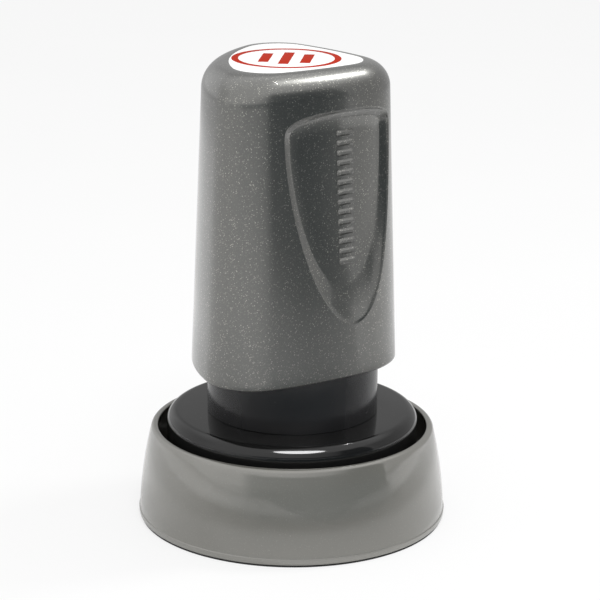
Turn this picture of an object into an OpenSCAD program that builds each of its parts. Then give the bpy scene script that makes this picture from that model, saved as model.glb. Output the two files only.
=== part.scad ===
// Round pre-inked hand stamp standing in its dust cap.
// A sprung handle slides on the neck of a skirt frame and pushes the inked die
// down to the skirt's lip. The cap seals the lip between uses.
// Millimetres, +Z up, origin on the desk under the centre of the cap.
// The handle's blunt nose points along +X, and its two flanks mirror in the XZ plane.

/* [Cap] */
// Gap between the skirt and the inside of the cap's rim
cap_gap = 1.5; // [1:0.1:4]
// How much wider the cap is at its foot than at its rim, on the radius
cap_flare = 2.3; // [1:0.1:4]
// Height of the cap's rim above the desk
cap_h = 16.8; // [14:0.1:18]
// Thickness of the cap's wall
cap_wall = 1.2; // [0.8:0.1:1.6]
// Thickness of the cap's floor
cap_floor = 2; // [1.6:0.1:3]
// Radius of the slow outward bulge of the cap's wall
cap_bulge_r = 72; // [50:1:150]
// Rounding of the cap's lower edge
cap_foot_round = 0.9; // [0.4:0.1:1.2]
// Rounding of the cap's rim
cap_rim_round = 0.5; // [0.2:0.05:0.55]
// Height of the cap's lower edge over the desk
cap_lift = 0.3; // [0.1:0.1:0.6]
// Number of ribs that centre the skirt in the cap
cap_ribs = 6; // [3:1:12]
// Thickness of a centring rib
cap_rib_t = 1.4; // [0.8:0.1:2.4]
// Height of the centring ribs above the cap's floor
cap_rib_h = 7; // [5:0.5:11]
// Gap between a centring rib and the skirt
rib_gap = 0.4; // [0.3:0.05:0.8]

/* [Foot and seal] */
// Distance of the foot ring's middle from the cap's lower edge
foot_inset = 2.9; // [2.8:0.1:6]
// Width of the foot ring
foot_w = 3; // [1.5:0.1:3.4]
// Depth of the foot ring's groove in the cap's floor
foot_seat = 0.9; // [0.5:0.1:1]
// Thickness of the seal ring under the skirt's lip
seal_h = 0.8; // [0.5:0.1:1.5]
// How far the seal ring reaches past the lip on the inside
seal_margin = 0.8; // [0.4:0.1:2]

/* [Skirt] */
// Outer radius of the skirt
skirt_r = 22.5; // [21.5:0.1:28]
// Thickness of the skirt's wall
skirt_wall = 1.5; // [1:0.1:1.6]
// Thickness of the skirt's top plate
skirt_plate = 1.8; // [1.4:0.1:3]
// Rounding of the skirt's upper edge
skirt_round = 2.1; // [1:0.1:2.4]

/* [Neck] */
// Thickness of the neck's wall round the sleeve
neck_wall = 3.65; // [3:0.05:5]
// Length of neck that shows under the handle
neck_show = 10; // [6:0.5:14]
// How far the wide part of the neck stands into the handle's mouth
neck_lap = 0.8; // [0.6:0.1:1.4]
// Thickness of the neck's floor
neck_floor = 1.8; // [1.4:0.1:3]
// Radius of the spigot that centres the neck in the skirt's plate
spigot_r = 10; // [7.5:0.1:11]
// Wall left outside the key slots
guide_wall = 0.8; // [0.6:0.1:1]

/* [Core] */
// Outer radius of the sleeve that slides in the neck
sleeve_r = 11.5; // [10.5:0.1:13]
// Thickness of the sleeve's wall
sleeve_wall = 1.5; // [1:0.1:1.8]
// Width of the sleeve's keys
key_w = 2.4; // [1.6:0.1:4]
// Height of the sleeve's keys
key_h = 0.8; // [0.5:0.1:1]
// Gap round a key in its slot
key_gap = 0.3; // [0.3:0.05:0.5]
// Thickness of the sleeve's top flange
flange_h = 1.5; // [1:0.1:2.5]
// Depth of the core plate inside the handle's mouth
core_depth = 15.4; // [14.8:0.1:18]
// Thickness of the core plate
core_t = 3; // [2.4:0.1:4]
// Running clearance of the sleeve and the stem, on the radius
run_fit = 0.05; // [0.02:0.01:0.08]
// Clearance of pieces that are seated in each other
seat_gap = 0.05; // [0.02:0.01:0.1]
// Clearance left between hard stops that don't meet
stop_gap = 0.7; // [0.5:0.1:1.2]

/* [Handle] */
// Height of the handle from its mouth to its top
handle_h = 53.2; // [48:0.2:70]
// Gap between the neck and the handle's wall, in the middle of a flank
mouth_gap = 0.4; // [0.35:0.05:1]
// Further room behind the neck, at the handle's back
back_room = 1.1; // [0.5:0.1:4]
// Distance of the nose's centre from the axis
nose_x = 5.7; // [5:0.1:6.4]
// Radius of the slow curve of a flank
flank_r = 70; // [60:1:90]
// Direction in which the flank starts, from the nose
flank_start = 42; // [40:0.5:44]
// Radius of the two rear corners
corner_r = 8.7; // [8:0.1:9.6]
// Radius of the handle's broad back
back_r = 37; // [34:0.5:44]
// Draft of the handle's sides, millimetres per millimetre of height
handle_draft = 0.038; // [0.02:0.002:0.04]
// Wall of the handle round its mouth
mouth_wall = 1.1; // [0.9:0.05:2]
// Wall of the handle above the core plate
upper_wall = 3.2; // [2.6:0.1:3.6]
// Thickness of the handle's top
top_wall = 2.4; // [1.6:0.1:4]
// Rounding of the handle's top edge
top_round = 4.5; // [3:0.1:5]
// Rounding of the lip round the mouth
lip_round = 0.6; // [0.3:0.05:0.7]

/* [Finger recess] */
// Place of the recess along the outline, measured from the nose
recess_s = 15; // [13:0.1:18]
// Half width of the recess at its broadest
recess_w = 12.3; // [8:0.1:12.6]
// Distance of the recess's upper end below the handle's top
recess_top = 6.5; // [5.2:0.1:10]
// Length of the recess below its broadest place
recess_down = 32.9; // [24:0.1:34]
// Length of the recess above its broadest place
recess_up = 4.3; // [2:0.1:5]
// Depth of the recess at its upper end
recess_depth = 1; // [0.5:0.1:2]
// Share of the half width that the recess's floor takes
recess_floor = 0.86; // [0.7:0.01:0.92]
// Length of the slope at the recess's lower end
recess_rise = 1.2; // [1:0.1:9]
// How far the recess's lower end lies closer to the nose than its middle
recess_lean = 1.6; // [0:0.1:2]

/* [Label] */
// Thickness of the index label
label_t = 0.25; // [0.15:0.05:0.6]
// Margin of the handle's top left round the label
label_margin = 0.15; // [0.05:0.05:0.8]
// Radius of the label's two rear corners
label_corner_r = 6; // [3:0.1:7]

/* [Plunger] */
// Radius of the plunger stem
stem_r = 3; // [2.5:0.1:3.4]
// Radius of the threaded stub on top of the stem
stub_r = 2; // [1.6:0.1:2.2]
// Thickness of the guide bush's wall
bush_wall = 1.5; // [1:0.1:2]
// Radius of the guide bush's flange
bush_flange_r = 6; // [5.2:0.1:6.4]
// Thickness of the guide bush's flange
bush_flange_h = 1; // [0.6:0.1:1.5]
// How far the bush stands out under the skirt's plate
bush_drop = 0.6; // [0.3:0.1:1]
// Thickness of the washer under the stem's nut
washer_h = 0.6; // [0.4:0.1:1]
// Height of the stem's nut
nut_h = 2.6; // [1.8:0.1:3.5]
// Distance across the corners of the stem's nut
nut_d = 8; // [7:0.1:9]

/* [Spring] */
// Middle radius of the return spring's coils
spring_r = 8.2; // [7.8:0.1:8.5]
// Diameter of the spring's wire
wire_d = 1.2; // [0.8:0.1:1.4]
// Number of turns of the spring
spring_turns = 7; // [5:1:9]
// Thickness of the spring's seats
spring_seat = 0.6; // [0.4:0.1:1]
// Length of the collar that centres the spring's upper end
cup_collar = 2; // [1:0.1:3]

/* [Die] */
// Travel of the handle and the die from rest to the lip
press_travel = 3.5; // [2.5:0.1:4.5]
// Height of the raised print face
relief_h = 1; // [0.9:0.1:1.5]
// Thickness of the die behind the print face
die_t = 1; // [0.8:0.1:2]
// Thickness of the ink pad
pad_h = 3.4; // [2:0.1:5]
// Thickness of the die holder's plate
holder_plate = 2.4; // [2.2:0.1:3.5]
// Height of the bumper ring between the holder and the skirt's plate
bumper_h = 3.4; // [2.6:0.1:5]
// Width of the bumper ring
bumper_w = 2.4; // [1.5:0.1:3]
// Thickness of the die holder's rim
holder_rim = 1; // [0.7:0.1:1.5]
// Gap between the die holder's rim and the bezel's lip
rim_gap = 0.6; // [0.3:0.1:1.5]
// Thickness of the bezel's wall
bezel_wall = 0.7; // [0.5:0.05:0.9]
// Thickness of the bezel's inner lip
bezel_lip_h = 0.6; // [0.4:0.05:0.7]
// Width of the bezel's inner lip
bezel_lip_w = 2; // [1.6:0.1:2.6]
// Height of the bezel's wall
bezel_h = 3.4; // [2:0.1:4]
// Gap between the bezel and the skirt's wall
bezel_gap = 0.6; // [0.4:0.05:1]
// Width of the raised ring round the print face
print_ring_w = 1.6; // [0.8:0.1:3]
// Width of a raised print bar
print_bar_w = 2; // [1:0.1:3]
// Number of raised print bars
print_bars = 3; // [1:1:5]

/* [Fasteners] */
// Radius of the screws' shanks
screw_r = 1; // [0.8:0.05:1.1]
// Radius of the screws' heads
screw_head_r = 1.6; // [1.4:0.05:1.9]
// Height of the screws' heads
screw_head_h = 1.2; // [0.8:0.1:1.4]
// Grip of the neck screws above the skirt's plate
neck_screw_grip = 6; // [3:0.5:7]
// Number of neck screws, and of core screws
screws = 3; // [2:1:3]
// Grip of the holder screw in the stem
holder_screw_grip = 6; // [4:0.5:9]

/* [Hidden] */
$fn = 96;
eps = 0.01;

// Heights, from the desk up
floor_top = cap_lift + cap_floor;
lip_z = floor_top + seal_h;
die_face_z = lip_z + press_travel;
die_base_z = die_face_z + relief_h;
pad_z = die_base_z + die_t;
holder_under_z = pad_z + pad_h;
holder_rim_z = die_base_z + rim_gap;
holder_top_z = holder_under_z + holder_plate;
plate_under_z = holder_top_z + bumper_h;
skirt_top_z = plate_under_z + skirt_plate;
neck_floor_z = skirt_top_z + neck_floor;
mouth_z = skirt_top_z + neck_show;
shoulder_z = mouth_z + neck_lap;
core_z = mouth_z + core_depth;
core_top_z = core_z + core_t;
flange_z = core_z - flange_h;
neck_top_z = flange_z - screw_head_h - press_travel - stop_gap;
sleeve_z = neck_floor_z + press_travel + stop_gap;
bush_z = plate_under_z - bush_drop;
boss_top_z = bush_z - stop_gap;
spring_low_z = neck_floor_z + spring_seat;
spring_high_z = core_z - spring_seat;
handle_top_z = mouth_z + handle_h;
stub_top_z = core_top_z + washer_h + nut_h + stub_r / 2;

// Radii
skirt_bore_r = skirt_r - skirt_wall;
bezel_r = skirt_bore_r - bezel_gap;
holder_r = bezel_r - bezel_wall - seat_gap;
pad_r = holder_r - holder_rim - seat_gap;
bezel_open_r = bezel_r - bezel_lip_w - bezel_wall;
print_r = bezel_open_r - stop_gap / 2;
cap_rim_r = skirt_r + cap_gap + cap_wall;
cap_foot_r = cap_rim_r + cap_flare;
foot_r = cap_foot_r - foot_inset;
neck_bore_r = sleeve_r + run_fit;
neck_r = sleeve_r + run_fit + neck_wall;
neck_screw_pcd = (neck_bore_r + neck_r) / 2;
bumper_in_r = neck_screw_pcd + screw_head_r + stop_gap;
slot_r = sleeve_r + key_h + key_gap;
guide_r = slot_r + guide_wall;
sleeve_bore_r = sleeve_r - sleeve_wall;
bush_bore_r = stem_r + run_fit;
bush_r = bush_bore_r + bush_wall;
spring_out_r = spring_r + wire_d / 2;
spring_in_r = spring_r - wire_d / 2;
boss_r = stem_r + bush_wall + seat_gap;
core_screw_pcd = sleeve_r + screw_head_r + 2 * seat_gap;
flange_r = core_screw_pcd + screw_head_r;

// Angle of the first neck screw and core screw, clear of the key slots at the sides
screw_turn = 0;

// The cap's wall is one arc through its foot and its rim
cap_chord = norm([cap_foot_r - cap_rim_r, cap_h - cap_lift]);
cap_sag = sqrt(pow(cap_bulge_r, 2) - pow(cap_chord / 2, 2));
cap_arc_r = (cap_foot_r + cap_rim_r) / 2 - cap_sag * (cap_h - cap_lift) / cap_chord;
cap_arc_z = (cap_h + cap_lift) / 2 - cap_sag * (cap_foot_r - cap_rim_r) / cap_chord;
function cap_wall_r(z) = cap_arc_r + sqrt(pow(cap_bulge_r, 2) - pow(z - cap_arc_z, 2));

// The handle's half outline is four tangent arcs: nose, flank, corner and back.
// The nose's radius leaves room for the neck and for the sleeve's flange at the flank,
// and the corner is the circle that touches the flank and the back.
function aim(a) = [cos(a), sin(a)];
function way(p) = atan2(p[1], p[0]);
mouth_room = max(neck_r + mouth_gap, flange_r + seat_gap + handle_draft * core_depth);
flank_x = mouth_room + mouth_wall;
nose_reach = nose_x * cos(flank_start)
    + sqrt(pow(flank_r - flank_x, 2) - pow(nose_x * sin(flank_start), 2));
nose_r = flank_r - nose_reach;
nose_c = [nose_x, 0];
flank_c = nose_c - nose_reach * aim(flank_start);
back_c = [back_r - flank_x - back_room, 0];
span = norm(back_c - flank_c);
to_back = (back_c - flank_c) / span;
along = (pow(flank_r - corner_r, 2) - pow(back_r - corner_r, 2) + pow(span, 2)) / (2 * span);
aside = sqrt(pow(flank_r - corner_r, 2) - pow(along, 2));
corner_c = flank_c + along * to_back + aside * [-to_back[1], to_back[0]];
flank_end = way(corner_c - flank_c);
corner_end = way(corner_c - back_c);
// A point on it is given by its length s along the outline and its depth d inside it
nose_len = nose_r * flank_start * PI / 180;
flank_len = flank_r * (flank_end - flank_start) * PI / 180;
corner_len = corner_r * (corner_end - flank_end) * PI / 180;
back_len = back_r * (180 - corner_end) * PI / 180;
half_len = nose_len + flank_len + corner_len + back_len;
function turn(s, r) = s / r * 180 / PI;
function on_arc(c, r, d, a) = c + (r - d) * aim(a);
function outline(s, d) =
    s < nose_len ? on_arc(nose_c, nose_r, d, turn(s, nose_r)) :
    s < nose_len + flank_len ? on_arc(flank_c, flank_r, d, flank_start + turn(s - nose_len, flank_r)) :
    s < half_len - back_len ?
        on_arc(corner_c, corner_r, d, flank_end + turn(s - nose_len - flank_len, corner_r)) :
    on_arc(back_c, back_r, d, 180 - turn(half_len - s, back_r));
function flip(p) = [p[0], -p[1]];
// Closed outline at depth d, with its points at the lengths in stops and their mirror images
function ring(stops, d) = [
    for (s = stops) outline(s, d),
    for (i = [len(stops) - 2 : -1 : 1]) flip(outline(stops[i], d))
];
function draft_at(z) = handle_draft * (z - mouth_z);

// The recess is a long pointed arch below its broadest place and a flat arch above it
recess_mid_z = handle_top_z - recess_top - recess_up;
recess_low_z = recess_mid_z - recess_down;
recess_high_z = recess_mid_z + recess_up;
function recess_half(z) =
    z <= recess_low_z || z >= recess_high_z ? 0 :
    z < recess_mid_z ? recess_w * sqrt(1 - pow((recess_mid_z - z) / recess_down, 1.6)) :
    recess_w * pow(1 - pow((z - recess_mid_z) / recess_up, 3.4), 1 / 2.5);
function recess_mid(z) =
    recess_s - recess_lean * pow(min(1, max(0, (recess_mid_z - z) / recess_down)), 2);
function ease(t) = let (c = min(1, max(0, t))) c * c * (3 - 2 * c);
// Depth of the recess at height z and length u to the side of its middle
recess_rim = (1 - recess_floor) * recess_w;
function share(t) = min(1, max(0, t));
function recess_at(z, u) =
    let (
        half = recess_half(z),
        inside = half > abs(u) ? 1 - abs(u) / half : 0,
        up = share((z - recess_low_z) / (recess_high_z - recess_low_z))
    )
    recess_depth * (0.18 + 0.82 * pow(up, 1.15)) * share((z - recess_low_z) / recess_rise)
    * share((recess_high_z - z) / recess_rim) * ease(inside / (1 - recess_floor));

// Columns of the shell: nose side, recess and rear side. They follow the recess's edge.
nose_columns = 6;
recess_columns = 14;
rear_columns = 20;
least_half = recess_w / 5;
rim_share = (1 - recess_floor) / 2;
recess_shares = [
    -1, -1 + rim_share, -recess_floor,
    for (i = [1 : recess_columns - 5]) recess_floor * (2 * i / (recess_columns - 4) - 1),
    recess_floor, 1 - rim_share, 1
];
function column_stops(z) =
    let (
        h = z > recess_mid_z ? recess_w : max(recess_half(z), least_half),
        middle = recess_mid(z),
        low = middle - h,
        high = middle + h
    )
    [
        for (i = [0 : nose_columns - 1]) low * i / nose_columns,
        for (t = recess_shares) middle + h * t,
        for (i = [1 : rear_columns]) high + (half_len - high) * i / rear_columns
    ];
function at_z(points, z) = [for (p = points) [p[0], p[1], z]];

// One ring of the shell's outer skin, with the recess pressed into both flanks
function skin_ring(z, d) =
    let (stops = column_stops(z), half = [for (s = stops) outline(s, d + recess_at(z, s - recess_mid(z)))])
    at_z(mirrored(half), z);

// Shell rings in order: label seat, top rounding, sides, lip, mouth, ledge and ceiling
round_steps = 6;
lip_steps = 3;
side_rows = 26;
top_rows = 8;
round_z = handle_top_z - top_round;
label_d = draft_at(round_z) + top_round + label_margin;
ceiling_z = handle_top_z - label_t - top_wall;
ceiling_round = top_round - top_wall / 2;
lip_high_z = mouth_z + lip_round;
function part_of(low, high, i, n) = low + (high - low) * i / n;
top_stops = column_stops(handle_top_z);
mouth_stops = column_stops(mouth_z);

// The flat top has rounder rear corners, so the rounding of its edge is broader there.
// A point of its outline lies at the same share of its arc as on the handle's outline.
top_corner_r = label_corner_r + label_d;
top_along = (pow(flank_r - top_corner_r, 2) - pow(back_r - top_corner_r, 2) + pow(span, 2)) / (2 * span);
top_aside = sqrt(pow(flank_r - top_corner_r, 2) - pow(top_along, 2));
top_corner_c = flank_c + top_along * to_back + top_aside * [-to_back[1], to_back[0]];
top_flank_end = way(top_corner_c - flank_c);
top_corner_end = way(top_corner_c - back_c);
function top_outline(s, d) =
    s < nose_len ? outline(s, d) :
    s < nose_len + flank_len ?
        on_arc(flank_c, flank_r, d, part_of(flank_start, top_flank_end, s - nose_len, flank_len)) :
    s < half_len - back_len ?
        on_arc(top_corner_c, top_corner_r, d,
            part_of(top_flank_end, top_corner_end, s - nose_len - flank_len, corner_len)) :
    on_arc(back_c, back_r, d, part_of(180, top_corner_end, half_len - s, back_len));
function mirrored(half) = concat(half, [for (i = [len(half) - 2 : -1 : 1]) flip(half[i])]);
function top_ring(d) = mirrored([for (s = top_stops) top_outline(s, d)]);
function round_ring(a) =
    let (side_d = draft_at(round_z), in_share = 1 - cos(a))
    at_z(mirrored([
        for (s = top_stops)
            (1 - in_share) * outline(s, side_d) + in_share * top_outline(s, side_d + top_round)
    ]), round_z + top_round * sin(a));
seat_rings = [
    at_z(top_ring(label_d), handle_top_z - label_t),
    at_z(top_ring(label_d), handle_top_z)
];
round_rings = [for (i = [0 : round_steps]) round_ring(90 - 90 * i / round_steps)];
side_zs = [
    for (i = [1 : top_rows]) part_of(recess_high_z, recess_mid_z, pow(i / top_rows, 2), 1),
    for (i = [1 : side_rows]) recess_mid_z - recess_down * sin(90 * i / side_rows),
    part_of(recess_low_z, lip_high_z, 1, 2)
];
side_rings = [for (z = concat([recess_high_z], side_zs)) skin_ring(z, draft_at(z))];
lip_rings = [
    for (i = [0 : lip_steps]) let (a = 90 * i / lip_steps)
        skin_ring(lip_high_z - lip_round * sin(a), lip_round * (1 - cos(a)))
];
function inner_ring(z, d) = at_z(ring(mouth_stops, d + draft_at(z)), z);
inner_rings = [
    inner_ring(mouth_z, mouth_wall),
    inner_ring(core_top_z, mouth_wall),
    inner_ring(core_top_z, upper_wall),
    inner_ring(ceiling_z - ceiling_round, upper_wall),
    inner_ring(ceiling_z, upper_wall + ceiling_round)
];
shell_rings = concat(seat_rings, round_rings, side_rings, lip_rings, inner_rings);

// Closed skin over a list of rings of equal length, with a fan at each end
function ring_middle(r) = [for (k = [0 : 2]) (max([for (p = r) p[k]]) + min([for (p = r) p[k]])) / 2];
module skin(rings) {
    n = len(rings[0]);
    m = len(rings);
    points = concat([for (r = rings) each r], [ring_middle(rings[0]), ring_middle(rings[m - 1])]);
    sides = [
        for (j = [0 : m - 2], i = [0 : n - 1])
            let (a = j * n + i, b = j * n + (i + 1) % n)
            each [[a, b, b + n], [a, b + n, a + n]]
    ];
    first_end = [for (i = [0 : n - 1]) [m * n, (i + 1) % n, i]];
    last_end = [for (i = [0 : n - 1]) [m * n + 1, (m - 1) * n + i, (m - 1) * n + (i + 1) % n]];
    polyhedron(points, concat(sides, first_end, last_end), convexity = 10);
}

module tube(r_out, r_in, z_low, z_high) {
    translate([0, 0, z_low])
        difference() {
            cylinder(r = r_out, h = z_high - z_low);
            translate([0, 0, -1])
                cylinder(r = r_in, h = z_high - z_low + 2);
        }
}

module disc(r, z_low, z_high) {
    translate([0, 0, z_low])
        cylinder(r = r, h = z_high - z_low);
}

module screw_circle(pcd) {
    for (i = [0 : screws - 1])
        rotate([0, 0, screw_turn + 360 * i / screws])
            translate([pcd, 0, 0])
                children();
}

// A screw whose head hangs under z_seat and whose shank points up
module up_screw(z_seat, grip) {
    disc(screw_r, z_seat - eps, z_seat + grip);
    difference() {
        disc(screw_head_r, z_seat - screw_head_h, z_seat);
        translate([-screw_head_r, -screw_r / 4, z_seat - screw_head_h - 1])
            cube([2 * screw_head_r, screw_r / 2, 1 + screw_head_h / 3]);
    }
}

module cap_outline() {
    edge_r = cap_wall_r(cap_lift + cap_foot_round) - cap_foot_round;
    difference() {
        intersection() {
            translate([cap_arc_r, cap_arc_z])
                circle(r = cap_bulge_r, $fn = 720);
            translate([0, cap_lift])
                square([cap_foot_r, cap_h - cap_lift]);
        }
        difference() {
            translate([edge_r, 0])
                square([cap_foot_r, cap_lift + cap_foot_round]);
            translate([edge_r, cap_lift + cap_foot_round])
                circle(r = cap_foot_round);
        }
        cap_inside();
        translate([foot_r - foot_w / 2, 0])
            square([foot_w, cap_lift + foot_seat]);
    }
}

module cap_inside() {
    intersection() {
        translate([cap_arc_r, cap_arc_z])
            circle(r = cap_bulge_r - cap_wall, $fn = 720);
        translate([0, floor_top])
            square([cap_foot_r, cap_h]);
    }
}

module base_cap() {
    rim_mid_r = cap_rim_r - cap_wall / 2;
    rib_low_r = cap_wall_r(floor_top) - cap_wall / 2;
    rib_high_r = cap_wall_r(floor_top + cap_rib_h) - cap_wall / 2;
    rib_r = skirt_r + rib_gap;
    color([0.45, 0.44, 0.41]) {
        difference() {
            rotate_extrude()
                cap_outline();
            rotate_extrude()
                difference() {
                    translate([rim_mid_r - cap_wall, cap_h - cap_rim_round])
                        square([2 * cap_wall, 2 * cap_rim_round]);
                    translate([rim_mid_r - cap_wall / 2 + cap_rim_round, cap_h - cap_rim_round])
                        circle(r = cap_rim_round);
                    translate([rim_mid_r + cap_wall / 2 - cap_rim_round, cap_h - cap_rim_round])
                        circle(r = cap_rim_round);
                    translate([rim_mid_r - cap_wall / 2 + cap_rim_round, cap_h - cap_rim_round])
                        square([cap_wall - 2 * cap_rim_round, cap_rim_round]);
                }
        }
        for (i = [0 : cap_ribs - 1])
            rotate([90, 0, 360 * (i + 0.5) / cap_ribs])
                translate([0, 0, -cap_rib_t / 2])
                    linear_extrude(cap_rib_t)
                        polygon([
                            [rib_r, floor_top - eps],
                            [rib_low_r, floor_top - eps],
                            [rib_high_r, floor_top + cap_rib_h],
                            [rib_r + cap_wall, floor_top + cap_rib_h],
                            [rib_r, floor_top + cap_rib_h - cap_wall]
                        ]);
    }
}

module foot_ring() {
    color([0.06, 0.06, 0.06])
        tube(foot_r + foot_w / 2, foot_r - foot_w / 2, 0, cap_lift + foot_seat);
}

module cap_seal_ring() {
    color([0.2, 0.2, 0.2])
        tube(skirt_r, skirt_bore_r - seal_margin, floor_top, lip_z);
}

module skirt_frame() {
    bend = min(skirt_round, skirt_plate + skirt_wall);
    color([0.07, 0.07, 0.07])
        difference() {
            rotate_extrude()
                difference() {
                    translate([spigot_r + seat_gap, lip_z])
                        square([skirt_r - spigot_r - seat_gap, skirt_top_z - lip_z]);
                    translate([0, lip_z - 1])
                        square([skirt_bore_r, plate_under_z - lip_z + 1]);
                    difference() {
                        translate([skirt_r - bend, skirt_top_z - bend])
                            square(2 * bend);
                        translate([skirt_r - bend, skirt_top_z - bend])
                            circle(r = bend);
                    }
                }
            screw_circle(neck_screw_pcd)
                disc(screw_r + 2 * seat_gap, plate_under_z - 1, skirt_top_z + 1);
        }
}

module neck_sleeve() {
    color([0.07, 0.07, 0.07])
        difference() {
            union() {
                disc(spigot_r, plate_under_z, skirt_top_z + eps);
                disc(neck_r, skirt_top_z, shoulder_z);
                disc(guide_r, shoulder_z - eps, neck_top_z);
            }
            disc(neck_bore_r, neck_floor_z, neck_top_z + 1);
            disc(bush_r + seat_gap, plate_under_z - 1, neck_floor_z + 1);
            for (side = [-1, 1])
                translate([-key_w / 2 - key_gap, side < 0 ? -slot_r : 0, neck_floor_z])
                    cube([key_w + 2 * key_gap, slot_r, neck_top_z]);
            screw_circle(neck_screw_pcd)
                disc(screw_r + seat_gap, skirt_top_z - 1, skirt_top_z + neck_screw_grip + seat_gap);
        }
}

module neck_screws() {
    color("silver")
        screw_circle(neck_screw_pcd)
            up_screw(plate_under_z, skirt_plate + neck_screw_grip);
}

module guide_bush() {
    color("goldenrod")
        difference() {
            union() {
                disc(bush_r, bush_z, neck_floor_z + eps);
                disc(bush_flange_r, neck_floor_z, neck_floor_z + bush_flange_h);
            }
            disc(bush_bore_r, bush_z - 1, neck_floor_z + bush_flange_h + 1);
        }
}

module spring_washer() {
    color("silver")
        tube(spring_out_r, bush_flange_r + seat_gap, neck_floor_z, spring_low_z);
}

// Steel coil. Its pitch eases off at both ends so that it seats on the washer and the cup.
module return_spring() {
    steps = 24;
    sides = 6;
    count = spring_turns * steps;
    wire_r = wire_d / 2;
    run = spring_high_z - spring_low_z - wire_d;
    turns_z = [
        for (i = [0 : count]) let (u = i / count)
            spring_low_z + wire_r + run * (u + ease(u)) / 2
    ];
    color("silver")
        skin([
            for (i = [0 : count]) let (a = 360 * i / steps)
                [
                    for (k = [0 : sides - 1]) let (b = -360 * k / sides, r = spring_r + wire_r * cos(b))
                        [r * cos(a), r * sin(a), turns_z[i] + wire_r * sin(b)]
                ]
        ]);
}

module handle_shell() {
    color([0.36, 0.37, 0.37])
        skin(shell_rings);
}

module index_label() {
    color([0.95, 0.94, 0.92])
        translate([0, 0, handle_top_z - label_t])
            linear_extrude(label_t)
                polygon(top_ring(label_d + seat_gap));
}

module core_plate() {
    plate_d = mouth_wall + draft_at(core_top_z) + seat_gap;
    color([0.2, 0.2, 0.2])
        difference() {
            translate([0, 0, core_z])
                linear_extrude(core_t)
                    polygon(ring(mouth_stops, plate_d));
            disc(stub_r + seat_gap, core_z - 1, core_top_z + 1);
            screw_circle(core_screw_pcd)
                disc(screw_r + seat_gap, core_z - 1, core_top_z + 1);
        }
}

module core_sleeve() {
    color([0.12, 0.12, 0.12])
        difference() {
            union() {
                disc(sleeve_r, sleeve_z, core_z);
                disc(flange_r, flange_z, core_z);
                for (side = [-1, 1])
                    translate([-key_w / 2, side < 0 ? -sleeve_r - key_h : 0, sleeve_z])
                        cube([key_w, sleeve_r + key_h, core_z - sleeve_z]);
            }
            disc(sleeve_bore_r, sleeve_z - 1, core_z + 1);
            screw_circle(core_screw_pcd)
                disc(screw_r + seat_gap, flange_z - 1, core_z + 1);
        }
}

module core_screws() {
    color("silver")
        screw_circle(core_screw_pcd)
            up_screw(flange_z, flange_h + core_t);
}

module plunger_stem() {
    color("silver")
        difference() {
            union() {
                disc(stem_r, holder_top_z, core_z);
                disc(stub_r, core_z - eps, stub_top_z);
            }
            disc(screw_r + seat_gap, holder_top_z - 1, holder_top_z + holder_screw_grip + seat_gap);
        }
}

module stem_washer() {
    color("silver")
        tube(nut_d / 2 + washer_h, stub_r + seat_gap, core_top_z, core_top_z + washer_h);
}

module stem_nut() {
    nut_z = core_top_z + washer_h;
    color("silver")
        difference() {
            translate([0, 0, nut_z])
                cylinder(d = nut_d, h = nut_h, $fn = 6);
            disc(stub_r + seat_gap, nut_z - 1, nut_z + nut_h + 1);
        }
}

module spring_cup() {
    collar_r = spring_in_r - key_gap;
    color([0.12, 0.12, 0.12])
        difference() {
            union() {
                disc(spring_out_r, spring_high_z, core_z);
                disc(collar_r, spring_high_z - cup_collar, core_z);
            }
            disc(stem_r + seat_gap, spring_high_z - cup_collar - 1, core_z + 1);
        }
}

module die_holder() {
    head_depth = screw_head_h + seat_gap;
    color([0.12, 0.12, 0.12])
        difference() {
            union() {
                disc(holder_r, holder_rim_z, holder_top_z);
                disc(boss_r, holder_under_z, boss_top_z);
            }
            disc(holder_r - holder_rim, holder_rim_z - 1, holder_under_z);
            disc(stem_r + seat_gap, holder_top_z, boss_top_z + 1);
            disc(screw_r + 2 * seat_gap, holder_under_z - 1, holder_top_z + 1);
            disc(screw_head_r + seat_gap, holder_under_z - 1, holder_under_z + head_depth);
        }
}

module holder_screw() {
    seat_z = holder_under_z + screw_head_h + seat_gap;
    color("silver")
        up_screw(seat_z, holder_top_z - seat_z + holder_screw_grip);
}

module bumper_ring() {
    color([0.3, 0.3, 0.3])
        tube(bumper_in_r + bumper_w, bumper_in_r, holder_top_z, plate_under_z);
}

module ink_pad() {
    color([0.45, 0.08, 0.08])
        disc(pad_r, pad_z, holder_under_z);
}

// Print face: a raised ring and plain bars
module stamp_die() {
    bar_room = print_r - 2 * print_ring_w;
    bar_step = 2 * print_bar_w;
    color([0.55, 0.2, 0.15]) {
        disc(pad_r, die_base_z, pad_z);
        tube(print_r, print_r - print_ring_w, die_face_z, die_base_z + eps);
        for (i = [0 : print_bars - 1]) {
            y = (i - (print_bars - 1) / 2) * bar_step;
            half = sqrt(pow(bar_room, 2) - pow(abs(y) + print_bar_w, 2));
            translate([-half, y - print_bar_w / 2, die_face_z])
                cube([2 * half, print_bar_w, relief_h + eps]);
        }
    }
}

module die_bezel() {
    lip_low_z = die_base_z - bezel_lip_h;
    color([0.6, 0.6, 0.62])
        difference() {
            disc(bezel_r, lip_low_z, lip_low_z + bezel_h);
            disc(bezel_open_r, lip_low_z - 1, die_base_z + 1);
            disc(bezel_r - bezel_wall, die_base_z, lip_low_z + bezel_h + 1);
        }
}

base_cap();
foot_ring();
cap_seal_ring();
skirt_frame();
neck_sleeve();
neck_screws();
guide_bush();
spring_washer();
return_spring();
handle_shell();
index_label();
core_plate();
core_sleeve();
core_screws();
plunger_stem();
stem_washer();
stem_nut();
spring_cup();
die_holder();
holder_screw();
bumper_ring();
ink_pad();
stamp_die();
die_bezel();
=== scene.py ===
import math

import bmesh
import bpy
import numpy as np
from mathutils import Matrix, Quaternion, Vector


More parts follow.
